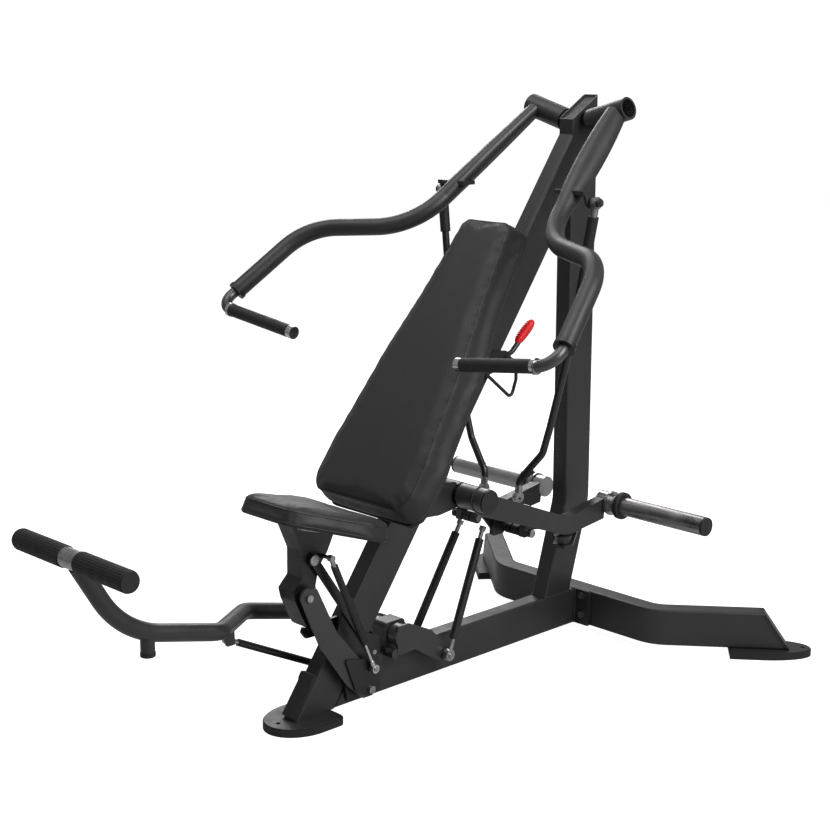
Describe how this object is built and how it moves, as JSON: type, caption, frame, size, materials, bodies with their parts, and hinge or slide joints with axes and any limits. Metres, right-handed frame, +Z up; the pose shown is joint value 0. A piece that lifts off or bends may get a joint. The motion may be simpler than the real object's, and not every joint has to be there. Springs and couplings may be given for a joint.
{
  "type": "plate loaded lever press machine",
  "caption": "Plate-loaded iso-lateral multi press: leaning frame, adjustable seat, back pad, two swinging press arms, weight levers and a foot-assist lever.",
  "frame": {"origin": "centre of the bounding box on the floor", "axes": "+Z up, the user faces -Y, +X is the user's left, the plate horns run along X"},
  "size_m": [1.206, 1.932, 1.471],
  "materials": {
    "frame_paint": "graphite powder coat, light sheen",
    "dark_paint": "satin black",
    "grey_paint": "mid grey powder coat",
    "chrome": "polished",
    "steel": "zinc plated",
    "black_plastic": "fine grain",
    "rubber": "matte",
    "upholstery": "soft satin vinyl",
    "board": "black painted plywood",
    "red_plastic": "ribbed soft grip"
  },
  "bodies": {
    "frame": {"incline_beam": "frame_paint", "rear_upright": "frame_paint", "base_beam": "frame_paint", "rear_flange": "frame_paint", "flange_bolts": "steel", "rear_leg_tube": "frame_paint", "tube_end_caps": "black_plastic", "foot_plates": "frame_paint", "foot_rubbers": "rubber", "kick_guard": "rubber", "press_axles": "chrome", "lever_mount_plates": "frame_paint", "lever_bearing_housing": "dark_paint", "lever_shaft": "steel", "stop_bracket": "dark_paint", "stop_bumpers": "rubber", "crank_pedestal": "grey_paint", "foot_pivot_axle": "steel", "seat_base_bracket": "dark_paint", "seat_pivot_pins": "steel", "back_pad_brackets": "dark_paint", "back_board": "board", "back_pad": "upholstery", "release_bracket": "dark_paint", "release_cable": "black_plastic"},
    "press_arm_left": {"press_arm_left": "frame_paint", "press_handle_left": "chrome", "press_grip_left": "rubber"},
    "link_rod_left": {"link_rod_left": "dark_paint"},
    "weight_lever_left": {"weight_lever_left": "frame_paint", "weight_horn_left": "chrome", "horn_rubber_left": "rubber", "lift_peg_left": "rubber"},
    "push_rod_left": {"push_rod_left": "dark_paint"},
    "foot_roller_left": {"foot_roller_left": "rubber"},
    "press_arm_right": {"press_arm_right": "frame_paint", "press_handle_right": "chrome", "press_grip_right": "rubber"},
    "link_rod_right": {"link_rod_right": "dark_paint"},
    "weight_lever_right": {"weight_lever_right": "frame_paint", "weight_horn_right": "chrome", "horn_rubber_right": "rubber", "lift_peg_right": "rubber"},
    "push_rod_right": {"push_rod_right": "dark_paint"},
    "foot_roller_right": {"foot_roller_right": "rubber"},
    "yoke": {"yoke": "dark_paint"},
    "crank": {"crank": "grey_paint"},
    "foot_lever": {"foot_lever_tube": "frame_paint", "roller_socket": "steel", "foot_stub_rubber": "rubber"},
    "foot_rod": {"foot_rod": "dark_paint"},
    "seat_link_front": {"seat_link_front": "grey_paint"},
    "seat_link_rear": {"seat_link_rear": "dark_paint"},
    "seat_carrier": {"seat_bracket": "dark_paint", "seat_pad": "upholstery"},
    "gas_cylinder": {"gas_cylinder": "dark_paint"},
    "gas_rod": {"gas_rod": "chrome"},
    "release_lever": {"release_lever": "dark_paint", "release_grip": "red_plastic"}
  },
  "joints": [
    {"name": "press_arm_left_pivot", "type": "hinge", "parent": "frame", "child": "press_arm_left", "pos_m": [0, 0.65, 1.393], "axis": [-0.9613, 0, -0.2756], "range_deg": [0, 26]},
    {"name": "link_rod_left_pivot", "type": "hinge", "parent": "press_arm_left", "child": "link_rod_left", "pos_m": [0.266, 0.412, 1.222], "axis": [0.9922, -0.0576, 0.1102], "range_deg": [0, 30.6]},
    {"name": "weight_lever_left_pivot", "type": "hinge", "parent": "frame", "child": "weight_lever_left", "pos_m": [0.086, 0.185, 0.481], "axis": [1, 0, 0], "range_deg": [0, 34]},
    {"name": "press_arm_right_pivot", "type": "hinge", "parent": "frame", "child": "press_arm_right", "pos_m": [0, 0.65, 1.393], "axis": [-0.9613, 0, 0.2756], "range_deg": [0, 26]},
    {"name": "link_rod_right_pivot", "type": "hinge", "parent": "press_arm_right", "child": "link_rod_right", "pos_m": [-0.266, 0.412, 1.222], "axis": [0.9922, 0.0576, -0.1102], "range_deg": [0, 30.6]},
    {"name": "weight_lever_right_pivot", "type": "hinge", "parent": "frame", "child": "weight_lever_right", "pos_m": [-0.086, 0.185, 0.481], "axis": [1, 0, 0], "range_deg": [0, 34]},
    {"name": "foot_lever_pivot", "type": "hinge", "parent": "frame", "child": "foot_lever", "pos_m": [-0.185, -0.17, 0.2], "axis": [1, 0, 0], "range_deg": [0, 27]},
    {"name": "crank_pivot", "type": "hinge", "parent": "frame", "child": "crank", "pos_m": [0, -0.038, 0.162], "axis": [1, 0, 0], "range_deg": [0, 26]},
    {"name": "foot_rod_pivot", "type": "hinge", "parent": "foot_lever", "child": "foot_rod", "pos_m": [-0.06, -0.498, 0.241], "axis": [1, 0, 0], "range_deg": [-9.5, 0]},
    {"name": "push_rod_left_pivot", "type": "hinge", "parent": "crank", "child": "push_rod_left", "pos_m": [0.07, 0.106, 0.079], "axis": [1, 0, 0], "range_deg": [-30.5, 0]},
    {"name": "foot_roller_left_spin", "type": "hinge", "parent": "foot_lever", "child": "foot_roller_left", "pos_m": [0.1175, -0.941, 0.548], "axis": [1, 0, 0], "continuous": true},
    {"name": "push_rod_right_pivot", "type": "hinge", "parent": "crank", "child": "push_rod_right", "pos_m": [-0.07, 0.106, 0.079], "axis": [1, 0, 0], "range_deg": [-30.5, 0]},
    {"name": "foot_roller_right_spin", "type": "hinge", "parent": "foot_lever", "child": "foot_roller_right", "pos_m": [-0.1175, -0.941, 0.548], "axis": [1, 0, 0], "continuous": true},
    {"name": "yoke_pivot", "type": "hinge", "parent": "frame", "child": "yoke", "pos_m": [0, 0.185, 0.481], "axis": [1, 0, 0], "range_deg": [0, 35.5]},
    {"name": "seat_link_front_pivot", "type": "hinge", "parent": "frame", "child": "seat_link_front", "pos_m": [0.048, -0.15, 0.053], "axis": [1, 0, 0], "range_deg": [0, 25]},
    {"name": "seat_carrier_pivot", "type": "hinge", "parent": "seat_link_front", "child": "seat_carrier", "pos_m": [0.048, -0.341, 0.332], "axis": [1, 0, 0], "range_deg": [-25.1, 0]},
    {"name": "seat_link_rear_pivot", "type": "hinge", "parent": "frame", "child": "seat_link_rear", "pos_m": [0.036, -0.122, 0.138], "axis": [1, 0, 0], "range_deg": [0, 25.1]},
    {"name": "gas_rod_pivot", "type": "hinge", "parent": "frame", "child": "gas_rod", "pos_m": [0.068, -0.149, 0.11], "axis": [1, 0, 0], "range_deg": [0, 25.3]},
    {"name": "gas_cylinder_slide", "type": "slide", "parent": "gas_rod", "child": "gas_cylinder", "axis": [0, -0.3996, 0.9167], "range_m": [-0.0285, 0]},
    {"name": "release_lever_pivot", "type": "hinge", "parent": "frame", "child": "release_lever", "pos_m": [0.015, 0.352, 0.812], "axis": [1, 0, 0], "range_deg": [0, 18], "stiffness_Nm_per_rad": 1, "springref_deg": -34.38}
  ],
  "couplings": [
    {"joint": "link_rod_left_pivot", "follows": "press_arm_left_pivot", "ratio": 1.1697},
    {"joint": "weight_lever_left_pivot", "follows": "press_arm_left_pivot", "ratio": 1.2994},
    {"joint": "link_rod_right_pivot", "follows": "press_arm_right_pivot", "ratio": 1.1697},
    {"joint": "weight_lever_right_pivot", "follows": "press_arm_right_pivot", "ratio": 1.2994},
    {"joint": "crank_pivot", "follows": "foot_lever_pivot", "ratio": 0.9522},
    {"joint": "foot_rod_pivot", "follows": "foot_lever_pivot", "ratio": -0.3368},
    {"joint": "push_rod_left_pivot", "follows": "foot_lever_pivot", "ratio": -1.1055},
    {"joint": "push_rod_right_pivot", "follows": "foot_lever_pivot", "ratio": -1.1055},
    {"joint": "yoke_pivot", "follows": "foot_lever_pivot", "ratio": 1.2965},
    {"joint": "seat_carrier_pivot", "follows": "seat_link_front_pivot", "ratio": -1},
    {"joint": "seat_link_rear_pivot", "follows": "seat_link_front_pivot", "ratio": 1},
    {"joint": "gas_rod_pivot", "follows": "seat_link_front_pivot", "ratio": 1.008},
    {"joint": "gas_cylinder_slide", "follows": "seat_link_front_pivot", "m_per_rad": -0.0637}
  ]
}
